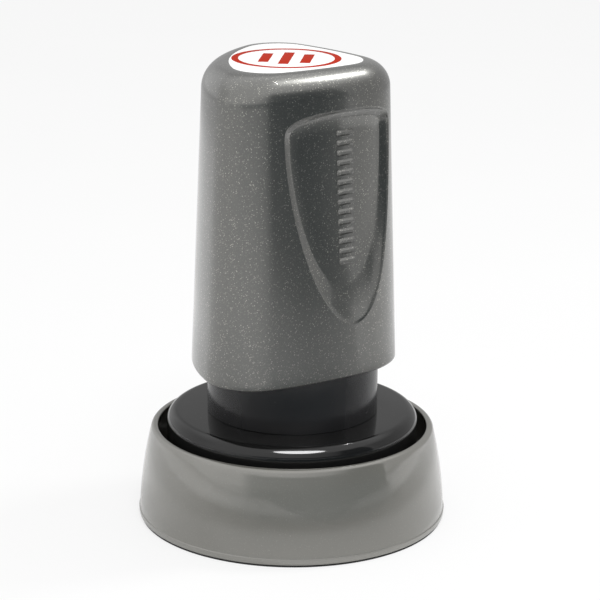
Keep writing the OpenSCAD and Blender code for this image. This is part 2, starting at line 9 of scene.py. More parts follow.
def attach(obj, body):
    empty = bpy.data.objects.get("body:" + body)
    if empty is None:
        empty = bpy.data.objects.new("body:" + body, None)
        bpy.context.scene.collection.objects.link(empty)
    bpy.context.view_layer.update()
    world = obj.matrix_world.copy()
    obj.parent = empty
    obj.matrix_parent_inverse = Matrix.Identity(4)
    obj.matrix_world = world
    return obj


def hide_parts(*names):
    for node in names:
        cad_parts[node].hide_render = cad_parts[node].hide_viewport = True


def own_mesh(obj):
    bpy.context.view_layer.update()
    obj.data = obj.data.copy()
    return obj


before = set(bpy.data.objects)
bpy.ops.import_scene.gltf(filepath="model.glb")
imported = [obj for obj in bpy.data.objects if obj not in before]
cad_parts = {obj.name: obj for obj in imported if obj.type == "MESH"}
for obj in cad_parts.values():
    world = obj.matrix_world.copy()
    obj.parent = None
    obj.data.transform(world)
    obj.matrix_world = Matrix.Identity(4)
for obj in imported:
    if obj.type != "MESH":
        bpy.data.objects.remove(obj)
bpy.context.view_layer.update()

# The view: a long lens a little above the stamp, turned six degrees towards the handle's nose.
# The stamp stands upright, and the camera leans by half a degree.
view_turn = math.radians(6)
view_rise = math.radians(16.34)
view_lean = math.radians(0.51)
view_far = 0.4
aim_right = 0.00121
aim_high = 0.03955
view_aim = Vector((math.cos(view_turn), math.sin(view_turn), 0)) * aim_right + Vector((0, 0, aim_high))
view_back = Vector((
    math.sin(view_turn) * math.cos(view_rise),
    -math.cos(view_turn) * math.cos(view_rise),
    math.sin(view_rise),
))
view = bpy.data.objects.new("view", bpy.data.cameras.new("view"))
view.data.lens = 135.48
view.data.sensor_width = 36
view.data.clip_start = 0.01
view.location = view_aim + view_back * view_far
view.rotation_mode = "QUATERNION"
view.rotation_quaternion = (-view_back).to_track_quat("-Z", "Y") @ Quaternion((0, 0, 1), view_lean)
bpy.context.scene.collection.objects.link(view)
bpy.context.scene.camera = view
bpy.context.scene.view_settings.view_transform = "Standard"


# The stage: a white table top in an even white tent, with a dark doorway beside the camera, shades
# close round the cap and a grey wall behind: bent cards with soft edges that only reflections show.
# Two soft lamps hang above, and two more only give the highlights on the base and on the handle.
def node(tree, kind, values=None, **fields):
    """Adds a node, sets its fields, and gives each named input a value or a link."""
    made = tree.nodes.new(kind)
    for name, value in fields.items():
        setattr(made, name, value)
    for name, value in (values or {}).items():
        if isinstance(value, bpy.types.NodeSocket):
            tree.links.new(value, made.inputs[name])
        else:
            made.inputs[name].default_value = value
    return made


def maths(tree, operation, *values):
    """The result of a sum with numbers or links."""
    return node(tree, "ShaderNodeMath", dict(enumerate(values)), operation=operation).outputs[0]


def ranged(tree, value, to=(0, 1), over=(0, 1)):
    """A value, spread from the range that it runs over to another range."""
    values = {"Value": value, "From Min": over[0], "From Max": over[1], "To Min": to[0], "To Max": to[1]}
    return node(tree, "ShaderNodeMapRange", values).outputs["Result"]


def new_material(name):
    """An empty material and its tree."""
    material = bpy.data.materials.new(name)
    material.use_nodes = True
    material.node_tree.nodes.clear()
    return material, material.node_tree


def mesh_piece(name, points, faces=(), material=None, edges=()):
    """A plain mesh object from points in metres."""
    mesh = bpy.data.meshes.new(name)
    mesh.from_pydata([tuple(p) for p in points], edges, faces)
    if material:
        mesh.materials.append(material)
    piece = bpy.data.objects.new(name, mesh)
    bpy.context.scene.collection.objects.link(piece)
    return piece


def grid_face(row, place, width):
    """The corners of one face in a grid of points, in rows of a width."""
    here = row * width + place
    return here, here + width, here + width + 1, here + 1


table_white, tree = new_material("table_white")
grain = node(tree, "ShaderNodeTexNoise", {"Scale": 60.0, "Detail": 4.0}).outputs["Fac"]
matt = node(tree, "ShaderNodeBsdfDiffuse", {"Color": ranged(tree, grain, (0.86, 0.9))})
glow = node(tree, "ShaderNodeEmission", {"Color": (1, 1, 1, 1), "Strength": 1.0})
seen = maths(tree, "MULTIPLY", node(tree, "ShaderNodeLightPath").outputs["Is Camera Ray"], 0.72)
tabletop = node(tree, "ShaderNodeMixShader", {0: seen, 1: matt.outputs[0], 2: glow.outputs[0]})
node(tree, "ShaderNodeOutputMaterial", {"Surface": tabletop.outputs[0]})
table_half = 2.0
table = mesh_piece(
    "table",
    [(x * table_half, y * table_half, 0) for x, y in ((-1, -1), (1, -1), (1, 1), (-1, 1))],
    [(0, 1, 2, 3)],
    table_white,
)

tent = bpy.data.worlds.new("tent")
tent.use_nodes = True
tree = tent.node_tree
tree.nodes.clear()
rays = node(tree, "ShaderNodeLightPath").outputs
mirrored = maths(tree, "MAXIMUM", rays["Is Glossy Ray"], rays["Is Transmission Ray"])
white_rays = maths(tree, "MAXIMUM", rays["Is Camera Ray"], mirrored)
lit = ranged(tree, white_rays, (0.8, 1.0))
cloth = node(tree, "ShaderNodeBackground", {"Color": (1, 1, 1, 1), "Strength": lit})
node(tree, "ShaderNodeOutputWorld", {"Surface": cloth.outputs[0]})
bpy.context.scene.world = tent


def bent_card(name, bearings, rows, colour, pivot=0):
    """A soft-edged card bent round the stamp, which only reflections show.

    bearings are (degrees, cover), and rows are (distance, height, cover, width), where the width
    is the share of each bearing's turn from the pivot that a row keeps."""
    material, tree = new_material(name)
    weave = node(tree, "ShaderNodeTexNoise", {"Scale": 25.0}).outputs["Fac"]
    uneven = ranged(tree, weave, (0.9, 1.1))
    cloth = node(tree, "ShaderNodeEmission", {"Color": colour + (1,), "Strength": uneven})
    clear = node(tree, "ShaderNodeBsdfTransparent")
    cover = node(tree, "ShaderNodeAttribute", attribute_name="cover").outputs["Fac"]
    veil = node(tree, "ShaderNodeMixShader", {0: cover, 1: clear.outputs[0], 2: cloth.outputs[0]})
    node(tree, "ShaderNodeOutputMaterial", {"Surface": veil.outputs[0]})
    listed, listed_cover = zip(*bearings)
    turns = np.unique(np.concatenate([listed, np.linspace(listed[0], listed[-1], 60)]))
    points = []
    for turn in turns:
        for far, z, _, keep in rows:
            a = math.radians(pivot + (turn - pivot) * keep)
            points.append((far * math.cos(a), far * math.sin(a), z))
    height = len(rows)
    faces = [grid_face(i, k, height) for i in range(len(turns) - 1) for k in range(height - 1)]
    card = mesh_piece(name, points, faces, material)
    covers = np.outer(np.interp(turns, listed, listed_cover), [row[2] for row in rows])
    card.data.attributes.new("cover", "FLOAT", "POINT").data.foreach_set("value", covers.ravel())
    for unseen in ("camera", "diffuse", "shadow", "transmission"):
        setattr(card, "visible_" + unseen, False)


bent_card(
    "dark_doorway",
    [(-140, 0), (-104, 0.08), (-80, 0.2), (-57, 0.42), (-45, 0.68), (-38, 1), (-11.5, 1), (-9, 0)],
    [
        (0.12, 0.001, 0.38, 0.7), (0.15, 0.001, 0.5, 0.72), (0.184, 0.001, 0.65, 0.76),
        (0.217, 0.001, 0.92, 0.8), (0.259, 0.001, 0.97, 0.87), (0.3, 0.001, 1, 0.95), (0.3, 0.02, 1, 1),
        (0.3, 0.1, 1, 0.97), (0.3, 0.25, 1, 0.85), (0.3, 0.33, 0, 0.8),
    ],
    (0.03, 0.05, 0.06),
    pivot=-7,
)
before_cap = (0.04, 0.08, 0.1)
bent_card(
    "shade_before_cap",
    [(-128, 0), (-112, 0.5), (-98, 0.88), (-85, 1), (-45, 1), (-32, 0.8), (-22, 0.4), (-12, 0)],
    [
        (0.061, 0.002, 0, 0.7), (0.061, 0.0045, 0.58, 1.05), (0.061, 0.007, 0.68, 1.15),
        (0.061, 0.01, 0.65, 1.12), (0.061, 0.0146, 0.65, 1.06),
    ],
    before_cap,
    pivot=-60,
)
slant = ((0.0047, 0.16), (0.0061, 0.36), (0.0078, 0.55), (0.01, 0.72), (0.0129, 0.9), (0.0146, 0.97))
bent_card(
    "dark_before_cap",
    [(-109, 0), (-104, 1), (-34, 1), (-28, 0)],
    [(0.06, 0.0038, 0, 0.05)] + [(0.06, z, 0.8, keep) for z, keep in slant],
    before_cap,
    pivot=-60,
)
bent_card(
    "dark_camera_side",
    [(-124, 0), (-114, 0.8), (-100, 0.9), (-22, 1), (-11, 0)],
    [(0.8, 0.001, 1, 0.95), (0.8, 0.05, 1, 1), (0.8, 0.11, 1, 1), (0.8, 0.14, 0, 1)],
    (0.05, 0.09, 0.11),
    pivot=-60,
)


def on_table(z, *stops):
    """Rows of a card that lies at a height, from (distance, cover)."""
    return [(far, z, cover, 1) for far, cover in stops]


bent_card(
    "shade_beside_cap",
    [(-205, 0), (-170, 0.4), (-130, 1), (-112, 0.6), (-95, 0)],
    on_table(0.0006, (0.1, 0), (0.13, 0.24), (0.2, 0.04), (0.4, 0.04), (0.8, 0.2))
    + [(0.81, 0.06, 0.2, 1), (0.81, 0.15, 0, 1)],
    (0.05, 0.09, 0.11),
)
round_base = (0.03, 0.035, 0.04)
bent_card(
    "shade_round_base",
    [(-260, 0.3), (-196, 0.5), (-166, 0.5), (-125, 0.65), (-84, 1)]
    + [(-45, 0.95), (-2, 0.75), (30, 0.6), (100, 0.3)],
    on_table(0.0004, (0.05, 0), (0.07, 0.5), (0.11, 0.5), (0.14, 0)),
    round_base,
)
bent_card(
    "shade_before_base",
    [(-200, 0), (-160, 0.3), (-139, 0.75), (-125, 0.9), (-100, 1), (-35, 1), (-10, 0.7), (30, 0)],
    on_table(0.0005, (0.03, 0.33), (0.055, 0.5), (0.07, 0.7), (0.1, 0.7), (0.14, 0)),
    round_base,
)
bent_card(
    "grey_table",
    [(-8, 0), (-4, 1), (145, 1), (170, 0)],
    on_table(0.0008, (0.12, 0), (0.17, 0.14), (0.25, 0.04), (0.34, 0.12), (0.4, 0.7), (0.8, 0.9)),
    (0.39, 0.39, 0.39),
)
bent_card(
    "grey_backdrop",
    [(-20, 0), (0, 0.8), (110, 1), (125, 0.5), (180, 0.35), (200, 0)],
    [(0.82, 0.001, 1, 1), (0.82, 0.6, 1, 1), (0.82, 0.9, 0, 1)],
    (0.4, 0.4, 0.4),
)


def soft_lamp(name, place, aim, width, height, power, glint=False):
    """An oval soft lamp that looks at a point and doesn't show in reflections.

    A glint lamp only gives a highlight, on the pieces in the collection that is returned."""
    lamp = bpy.data.lights.new(name, "AREA")
    lamp.shape = "ELLIPSE"
    lamp.size = width
    lamp.size_y = height
    lamp.energy = power
    holder = bpy.data.objects.new(name, lamp)
    holder.location = place
    holder.rotation_mode = "QUATERNION"
    holder.rotation_quaternion = (Vector(aim) - Vector(place)).to_track_quat("-Z", "Y")
    bpy.context.scene.collection.objects.link(holder)
    if not glint:
        holder.visible_glossy = False
        return None
    holder.visible_diffuse = False
    lit_pieces = bpy.data.collections.new(name)
    holder.light_linking.receiver_collection = lit_pieces
    return lit_pieces


base_aim = (0, -0.02, 0.02)
handle_aim = (0, -0.016, 0.081)
soft_lamp("front_lamp", (0.04, -0.192, 0.379), base_aim, 0.17, 0.1, 0.5)
soft_lamp("side_lamp", (0.206, 0.118, 0.458), handle_aim, 0.09, 0.1, 0.5)
base_glint = soft_lamp("base_glint", (0.055, -0.192, 0.379), base_aim, 0.25, 0.2, 2.3, glint=True)
handle_glint = soft_lamp("handle_glint", (0.21, 0.16, 0.438), handle_aim, 0.05, 0.025, 0.8, glint=True)


# The dust cap: an open dish of warm grey plastic, moulded in one piece with six inside ribs
# that keep the stamp's skirt central. Its wall is one shallow arc that flares to the foot.
def new_group(family, name, sockets):
    """An empty node group with named inputs of these kinds: the tree and what it is given."""
    made = bpy.data.node_groups.new(name, family + "NodeTree")
    for label, kind in sockets.items():
        made.interface.new_socket(label, in_out="INPUT", socket_type="NodeSocket" + kind)
    return made, made.nodes.new("NodeGroupInput").outputs


def end_group(tree, **results):
    """Gives a node group its named outputs."""
    for label, socket in results.items():
        kind = {"VECTOR": "Vector", "GEOMETRY": "Geometry"}.get(socket.type, "Float")
        tree.interface.new_socket(label, in_out="OUTPUT", socket_type="NodeSocket" + kind)
    node(tree, "NodeGroupOutput", results)


def placed(tree, group, **values):
    """A shader group in a material, with its own values: its outputs."""
    return node(tree, "ShaderNodeGroup", values, node_tree=group).outputs


def vectors(tree, operation, *values):
    """The result of a sum with vectors or links."""
    return node(tree, "ShaderNodeVectorMath", dict(enumerate(values)), operation=operation).outputs[0]


def noise(tree, place, scale, detail):
    """Soft noise from 0 to 1."""
    values = {"Vector": place, "Scale": scale, "Detail": detail}
    return node(tree, "ShaderNodeTexNoise", values).outputs["Fac"]


def mixed(tree, share, first, second):
    """A colour between two colours, each one red, green and blue or a link."""
    ends = [end if isinstance(end, bpy.types.NodeSocket) else (*end, 1) for end in (first, second)]
    return node(tree, "ShaderNodeMix", {0: share, 6: ends[0], 7: ends[1]}, data_type="RGBA").outputs[2]


def mottled(tree, share, colour, dark, pale):
    """A colour that varies between a darker and a paler tone of itself."""
    return mixed(tree, share, [c * dark for c in colour], [c * pale for c in colour])


def bumped(tree, strength, distance, height):
    """The surface's normal, bent by a height."""
    values = {"Strength": strength, "Distance": distance, "Height": height}
    return node(tree, "ShaderNodeBump", values).outputs["Normal"]


def piece_material(name):
    """An empty material, its tree and the piece's own coordinates."""
    material, tree = new_material(name)
    return material, tree, node(tree, "ShaderNodeTexCoord").outputs["Object"]


def principled(tree, values):
    """Ends a material in one Principled shader."""
    body = node(tree, "ShaderNodeBsdfPrincipled", values)
    node(tree, "ShaderNodeOutputMaterial", {"Surface": body.outputs[0]})


# Pale flake that is mixed into a moulded plastic: single small cells, each tilted its own way
flake, given = new_group("Shader", "pearl_flake", {"Place": "Vector", "Cells": "Float", "Share": "Float"})
askew = node(flake, "ShaderNodeMapping", {"Vector": given["Place"], "Rotation": (0.9, 0.5, 0.3)})
cells = node(flake, "ShaderNodeTexVoronoi", {"Vector": askew.outputs[0], "Scale": given["Cells"]}).outputs
chance = node(flake, "ShaderNodeSeparateColor", {"Color": cells["Color"]}).outputs["Red"]
picked = ranged(flake, chance, over=(maths(flake, "SUBTRACT", 1.0, given["Share"]), 1.0))
spot = ranged(flake, cells["Distance"], over=(0.5, 0.2))
sparkle = maths(flake, "MULTIPLY", picked, spot)
own_way = node(flake, "ShaderNodeTexWhiteNoise", {"Vector": cells["Position"]}).outputs["Color"]
flake_lean = vectors(flake, "SUBTRACT", own_way, (0.5, 0.5, 0.5))
tilt = node(flake, "ShaderNodeVectorMath", {0: flake_lean, "Scale": sparkle}, operation="SCALE")
end_group(flake, Flake=sparkle, Tilt=tilt.outputs[0])

# The skin of a polished mould: a faint orange peel and slow changes of gloss
skin, given = new_group("Shader", "moulded_skin", {"Place": "Vector", "Peel": "Float"})
peel_height = noise(skin, given["Place"], given["Peel"], 2.0)
end_group(skin, Height=peel_height, Gloss=noise(skin, given["Place"], 55.0, 3.0))

# Marks of handling: short fine scratches, mostly level, with a little dust between them
marks, given = new_group("Shader", "handling_marks", {"Place": "Vector", "Amount": "Float"})
stretched = {"Vector": given["Place"], "Rotation": (0.3, 0.2, 0.0), "Scale": (90.0, 90.0, 2600.0)}
stretch = node(marks, "ShaderNodeMapping", stretched)
thin = ranged(marks, noise(marks, stretch.outputs[0], 1.0, 1.0), over=(0.68, 0.78))
specks = node(marks, "ShaderNodeTexVoronoi", {"Vector": given["Place"], "Scale": 900.0})
speck = ranged(marks, specks.outputs["Distance"], over=(0.12, 0.05))
patches = ranged(marks, noise(marks, given["Place"], 130.0, 2.0), over=(0.5, 0.7))
dusty = maths(marks, "MULTIPLY", speck, patches)
scratch = maths(marks, "MULTIPLY", thin, given["Amount"])
end_group(marks, Scratch=scratch, Dust=maths(marks, "MULTIPLY", dusty, given["Amount"]))


def pearl_plastic(name, colour, pale, metal, gloss, cells, share, lean, coat_ior, peel):
    """Moulded plastic with pale flake in it."""
    material, tree, place = piece_material(name)
    speckle = placed(tree, flake, Place=place, Cells=cells, Share=share)
    fine = placed(tree, flake, Place=place, Cells=cells * 1.6, Share=0.4)
    surface = placed(tree, skin, Place=place, Peel=peel)
    wear = placed(tree, marks, Place=place, Amount=0.35)
    cloudy = mottled(tree, surface["Gloss"], colour, 0.94, 1.06)
    grained = mixed(tree, maths(tree, "MULTIPLY", fine["Flake"], 0.3), cloudy, pale)
    starred = mixed(tree, speckle["Flake"], grained, pale)
    rough = ranged(tree, surface["Gloss"], (gloss - 0.03, gloss + 0.03))
    peeled = bumped(tree, 0.12, 0.00004, maths(tree, "MULTIPLY", surface["Height"], 0.6))
    leaning = vectors(tree, "MULTIPLY_ADD", speckle["Tilt"], (lean, lean, lean), peeled)
    principled(tree, {
        "Base Color": mixed(tree, wear["Dust"], starred, (0.5, 0.49, 0.46)),
        "Metallic": metal,
        "Roughness": maths(tree, "MULTIPLY_ADD", wear["Scratch"], 0.12, rough),
        "Coat Weight": 1.0,
        "Coat Roughness": 0.05,
        "Coat IOR": coat_ior,
        "Normal": vectors(tree, "NORMALIZE", leaning),
    })
    return material


cap_grey = pearl_plastic(
    "cap_grey", (0.205, 0.2, 0.178), pale=(0.27, 0.265, 0.24),
    metal=0.4, gloss=0.4, cells=6000, share=0.2, lean=0.1, coat_ior=2.0, peel=650,
)


def shape(tree, kind, values=None, **fields):
    """Adds a geometry node: its first output."""
    return node(tree, "GeometryNode" + kind, values, **fields).outputs[0]


def piece_group(name, source, numbers):
    """An empty geometry group that makes a piece in a finish from its source and numbers."""
    sockets = {source: "Geometry", **numbers, "Finish": "Material"}
    made, given = new_group("Geometry", name, sockets)
    made.is_modifier = True
    return made, given


def end_piece_group(tree, given, geometry):
    """Gives a geometry group its piece, in one mesh and in its finish."""
    whole = shape(tree, "RealizeInstances", {"Geometry": geometry})
    end_group(tree, Piece=shape(tree, "SetMaterial", {"Geometry": whole, "Material": given["Finish"]}))


def applied(piece, group, values):
    """The piece, with a geometry group on it that has its own values."""
    modifier = piece.modifiers.new(group.name, "NODES")
    modifier.node_group = group
    for socket in group.interface.items_tree:
        if socket.name in values:
            modifier[socket.identifier] = values[socket.name]
    return piece


# A turned piece: its outline, swept once round the stamp's axis
turning, given = piece_group("turned_piece", "Outline", {"Steps": "Int", "Guide radius": "Float"})
drawn = shape(turning, "MeshToCurve", {"Mesh": given["Outline"]})
circle_values = {"Resolution": given["Steps"], "Radius": given["Guide radius"]}
circle = shape(turning, "CurvePrimitiveCircle", circle_values)
upright = shape(turning, "SetCurveNormal", {"Curve": circle}, mode="Z_UP")
swept = shape(turning, "CurveToMesh", {"Curve": upright, "Profile Curve": drawn})
closed = shape(turning, "MergeByDistance", {"Geometry": swept, "Distance": 1e-6})
end_piece_group(turning, given, shape(turning, "SetShadeSmooth", {"Geometry": closed}))


def settled(piece, sharp=32):
    """The piece as a plain mesh, without its modifiers, outward and smooth up to an angle."""
    shown = piece.evaluated_get(bpy.context.evaluated_depsgraph_get())
    mesh = bpy.data.meshes.new_from_object(shown)
    piece.modifiers.clear()
    piece.data = mesh
    work = bmesh.new()
    work.from_mesh(mesh)
    bmesh.ops.remove_doubles(work, verts=work.verts, dist=1e-7)
    bmesh.ops.recalc_face_normals(work, faces=work.faces)
    work.to_mesh(mesh)
    work.free()
    mesh.name = piece.name
    mesh.set_sharp_from_angle(angle=math.radians(sharp))
    return piece


def rounded(corners):
    """Points of an outline in millimetres whose corners (r, z, bend) are rounded."""
    points = []
    for i, (r, z, bend) in enumerate(corners):
        here = Vector((r, z))
        if bend == 0:
            points.append(here)
            continue
        before = (Vector(corners[i - 1][:2]) - here).normalized()
        after = (Vector(corners[(i + 1) % len(corners)][:2]) - here).normalized()
        half = before.angle(after) / 2
        middle = here + (before + after).normalized() * (bend / math.sin(half))
        first = here + before * (bend / math.tan(half)) - middle
        last = here + after * (bend / math.tan(half)) - middle
        turn = math.pi - 2 * half
        if first.x * last.y - first.y * last.x < 0:
            turn = -turn
        count = max(3, round(abs(math.degrees(turn)) / 10))
        for k in range(count + 1):
            a = turn * k / count
            points.append(middle + Vector((
                first.x * math.cos(a) - first.y * math.sin(a),
                first.x * math.sin(a) + first.y * math.cos(a),
            )))
    return points


def turned(name, corners, material, ring=True):
    """A piece turned about the stamp's axis from the rounded corners of its outline."""
    points = rounded(corners)
    guide = 10
    count = len(points)
    piece = mesh_piece(
        name,
        [((p[0] - guide) / 1000, -p[1] / 1000, 0) for p in points],
        edges=[(i, (i + 1) % count) for i in range(count if ring else count - 1)],
    )
    values = {"Steps": 192, "Guide radius": guide / 1000, "Finish": material}
    return settled(applied(piece, turning, values))


cap_lift = 0.3
cap_high = 16.8
cap_floor = 2.3
cap_wall = 1.2
cap_foot_r = 27.5
cap_rim_r = 25.2
cap_bulge = 72
cap_chord = math.hypot(cap_foot_r - cap_rim_r, cap_high - cap_lift)
cap_sag = math.sqrt(cap_bulge**2 - (cap_chord / 2) ** 2)
cap_mid_r = (cap_foot_r + cap_rim_r) / 2 - cap_sag * (cap_high - cap_lift) / cap_chord
cap_mid_z = (cap_high + cap_lift) / 2 - cap_sag * (cap_foot_r - cap_rim_r) / cap_chord


def cap_side(z):
    """The cap's outside radius at a height."""
    return cap_mid_r + math.sqrt(cap_bulge**2 - (z - cap_mid_z) ** 2)


band_top = 1.5
band_proud = 0.15
foot_in = 23.1
foot_out = 26.1
shadow_flange = 27.3
foot_seat = 1.2
groove_gap = 0.02
wall_inside = np.linspace(4.2, 15.6, 10)
wall_outside = np.linspace(15.4, 2.4, 14)
cap_shell = turned(
    "cap_shell",
    [(0, cap_floor, 0), (cap_side(cap_floor) - cap_wall, cap_floor, 0.7)]
    + [(cap_side(z) - cap_wall, z, 0) for z in wall_inside]
    + [(cap_side(cap_high) - cap_wall, cap_high, 0.3), (cap_side(cap_high), cap_high, 0.8)]
    + [(cap_side(z), z, 0) for z in wall_outside]
    + [
        (cap_side(band_top), band_top, 0.15), (cap_side(band_top) + band_proud, band_top - 0.1, 0.08),
        (cap_side(cap_lift) + band_proud / 2, cap_lift, 0.45), (foot_out + groove_gap, cap_lift, 0.12),
        (foot_out + groove_gap, foot_seat, 0.1), (foot_in - groove_gap, foot_seat, 0.1),
        (foot_in - groove_gap, cap_lift, 0.12), (0, cap_lift, 0),
    ],
    cap_grey,
    ring=False,
)
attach(cap_shell, "cap")
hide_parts("base_cap")

# Like pieces spaced evenly round the stamp's axis
circling, given = piece_group("pieces_round_axis", "One piece", {"Count": "Int", "First turn": "Float"})
spots = shape(circling, "Points", {"Count": given["Count"]})
part_turn = maths(circling, "DIVIDE", 2 * math.pi, given["Count"])
turn_at = maths(circling, "MULTIPLY_ADD", shape(circling, "InputIndex"), part_turn, given["First turn"])
about_axis = node(circling, "ShaderNodeCombineXYZ", {"Z": turn_at}).outputs[0]
spread_values = {"Points": spots, "Instance": given["One piece"], "Rotation": about_axis}
end_piece_group(circling, given, shape(circling, "InstanceOnPoints", spread_values))

rib_count = 6
rib_in = 22.9
rib_top = 9.3
rib_half = 0.7
rib_root = 0.6
rib_sink = 0.01
rib_side = rounded([
    (rib_in, cap_floor - rib_sink, 0),
    (cap_side(cap_floor) - rib_root, cap_floor - rib_sink, 0),
    (cap_side(rib_top) - rib_root, rib_top, 0),
    (rib_in, rib_top, 0.9),
])
rib_ends = len(rib_side)
cap_ribs = mesh_piece(
    "cap_ribs",
    [(p.x / 1000, side * rib_half / 1000, p.y / 1000) for side in (-1, 1) for p in rib_side],
    [tuple(range(rib_ends)), tuple(range(2 * rib_ends - 1, rib_ends - 1, -1))]
    + [((i + 1) % rib_ends, i, i + rib_ends, (i + 1) % rib_ends + rib_ends) for i in range(rib_ends)],
    cap_grey,
)
rib_values = {"Count": rib_count, "First turn": math.pi / rib_count, "Finish": cap_grey}
settled(applied(cap_ribs, circling, rib_values))
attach(cap_ribs, "cap")


# The foot ring: a black rubber ring, pressed into a groove under the cap so that it stands still.
# Its outer flange reaches under the cap's edge, where its black paints the contact shadow there as a thin
# dark line.
def rubber(name, colour, grain):
    """Matt moulded rubber with a dry bloom."""
    material, tree, place = piece_material(name)
    surface = placed(tree, skin, Place=place, Peel=grain)
    wear = placed(tree, marks, Place=place, Amount=0.6)
    bloom = mottled(tree, surface["Gloss"], colour, 0.75, 1.3)
    principled(tree, {
        "Base Color": mixed(tree, wear["Dust"], bloom, (0.3, 0.29, 0.27)),
        "Roughness": ranged(tree, surface["Height"], (0.62, 0.82)),
        "Normal": bumped(tree, 0.35, 0.0001, surface["Height"]),
    })
    return material


rubber_black = rubber("rubber_black", (0.02, 0.02, 0.02), 1800)
foot_ring = turned(
    "foot_ring_rubber",
    [
        # the flange out under the cap's edge is painted shadow: a dark sheet where the cap meets the
        # table
        (foot_in, 0, 0.25), (shadow_flange, 0, 0.08), (shadow_flange, cap_lift - groove_gap, 0.08),
        (foot_out, cap_lift - groove_gap, 0.05), (foot_out, foot_seat, 0.1), (foot_in, foot_seat, 0.1),
    ],
    rubber_black,
)
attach(foot_ring, "cap")
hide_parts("foot_ring")

# The seal ring: soft grey rubber, laid on the cap's floor.
# The skirt's lip stands on it, so that the inked face doesn't dry out.
rubber_grey = rubber("rubber_grey", (0.085, 0.085, 0.082), 1500)
seal_in = 20.2
skirt_r = 22.5
skirt_lip = 3.1
seal_ring = turned(
    "seal_ring_rubber",
    [
        (seal_in, cap_floor, 0.1), (skirt_r, cap_floor, 0.1), (skirt_r, skirt_lip, 0.25),
        (seal_in, skirt_lip, 0.25),
    ],
    rubber_grey,
)
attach(seal_ring, "cap")
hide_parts("cap_seal_ring")


# The skirt: the round black frame that stands on the paper and hides the inked face.
# Glossy plastic, moulded with a broad rounding at its top edge.
def plain_plastic(name, colour, gloss, peel, wear_amount):
    """Moulded plastic of one colour, with fine scratches and a little dust."""
    material, tree, place = piece_material(name)
    surface = placed(tree, skin, Place=place, Peel=peel)
    wear = placed(tree, marks, Place=place, Amount=wear_amount)
    tinted = mottled(tree, surface["Gloss"], colour, 0.85, 1.15)
    rough = ranged(tree, surface["Gloss"], (gloss * 0.8, gloss * 1.2))
    principled(tree, {
        "Base Color": mixed(tree, wear["Dust"], tinted, (0.35, 0.34, 0.32)),
        "Roughness": maths(tree, "MULTIPLY_ADD", wear["Scratch"], 0.25, rough),
        "Normal": bumped(tree, 0.1, 0.00004, surface["Height"]),
    })
    return material


gloss_black = plain_plastic("gloss_black", (0.01, 0.01, 0.01), gloss=0.07, peel=420, wear_amount=0.3)
skirt_top = 19.6
skirt_bore = 21.0
plate_under = 17.8
plate_hole = 10.05
skirt = turned(
    "skirt_shell",
    [
        (skirt_r, skirt_lip, 0.3), (skirt_r, skirt_top, 2.1), (plate_hole, skirt_top, 0.1),
        (plate_hole, plate_under, 0.1), (skirt_bore, plate_under, 0.5), (skirt_bore, skirt_lip, 0.3),
    ],
    gloss_black,
)
base_glint.objects.link(skirt)
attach(skirt, "skirt")
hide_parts("skirt_frame")

# The neck: the black tube on the skirt that the handle slides over, in the skirt's plastic.
# It is moulded apart, stands in the skirt on a spigot, and has two slots that guide the keys.
satin_black = plain_plastic("satin_black", (0.017, 0.017, 0.018), gloss=0.2, peel=700, wear_amount=0.3)
neck_r = 15.2
neck_bore = 11.55
neck_collar = 13.4
neck_spigot = 10.0
bush_hole = 4.6
shoulder = 30.4
neck_top = 38.1
neck_floor = 21.4
neck = turned(
    "neck_tube",
    [
        (bush_hole, plate_under, 0.1), (neck_spigot, plate_under, 0.2), (neck_spigot, skirt_top, 0),
        (neck_r, skirt_top, 0.12), (neck_r, shoulder, 0.5), (neck_collar, shoulder, 0.3),
        (neck_collar, neck_top, 0.4), (neck_bore, neck_top, 0.3), (neck_bore, neck_floor, 0.3),
        (bush_hole, neck_floor, 0.1),
    ],
    satin_black,
)
slot_half = 1.5
slot_r = 12.6
slot_high = 20
slot_box = bmesh.new()
bmesh.ops.create_cube(slot_box, size=1)
slot_size = (2 * slot_half / 1000, 2 * slot_r / 1000, slot_high / 1000)
slot_middle = (0, 0, neck_floor / 1000 + slot_high / 2000)
bmesh.ops.scale(slot_box, vec=slot_size, verts=slot_box.verts)
bmesh.ops.translate(slot_box, vec=slot_middle, verts=slot_box.verts)
slot_cutter = mesh_piece("slot_cutter", [])
slot_box.to_mesh(slot_cutter.data)
slot_box.free()
cut = neck.modifiers.new("slots", "BOOLEAN")
cut.object = slot_cutter
cut.operation = "DIFFERENCE"
settled(neck)
bpy.data.objects.remove(slot_cutter)
base_glint.objects.link(neck)
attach(neck, "skirt")
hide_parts("neck_sleeve")

# The neck's fixings: three zinc-plated screws through the skirt's plate, a turned brass bush
# that guides the stem, and the steel washer under the spring. All bear fine marks of turning,
# which are rings round the stamp's axis.
rings, given = new_group("Shader", "turning_marks", {"Place": "Vector", "Pitch": "Float"})
level = vectors(rings, "MULTIPLY", given["Place"], (1, 1, 0))
from_axis = node(rings, "ShaderNodeVectorMath", {0: level}, operation="LENGTH").outputs["Value"]
up = node(rings, "ShaderNodeSeparateXYZ", {0: given["Place"]}).outputs["Z"]
ring_row = node(rings, "ShaderNodeCombineXYZ", {"X": maths(rings, "ADD", from_axis, up)})
end_group(rings, Ring=noise(rings, ring_row.outputs[0], given["Pitch"], 2.0))


def turned_metal(name, colour, gloss):
    """Plated or turned metal with fine rings and a few scratches."""
    material, tree, place = piece_material(name)
    ring = placed(tree, rings, Place=place, Pitch=5200.0)["Ring"]
    wear = placed(tree, marks, Place=place, Amount=0.5)
    rough = ranged(tree, ring, (gloss - 0.1, gloss + 0.1))
    principled(tree, {
        "Base Color": mottled(tree, noise(tree, place, 300.0, 3.0), colour, 0.82, 1.1),
        "Metallic": 1.0,
        "Roughness": maths(tree, "MULTIPLY_ADD", wear["Scratch"], 0.2, rough),
        "Normal": bumped(tree, 0.15, 0.00005, ring),
    })
    return material


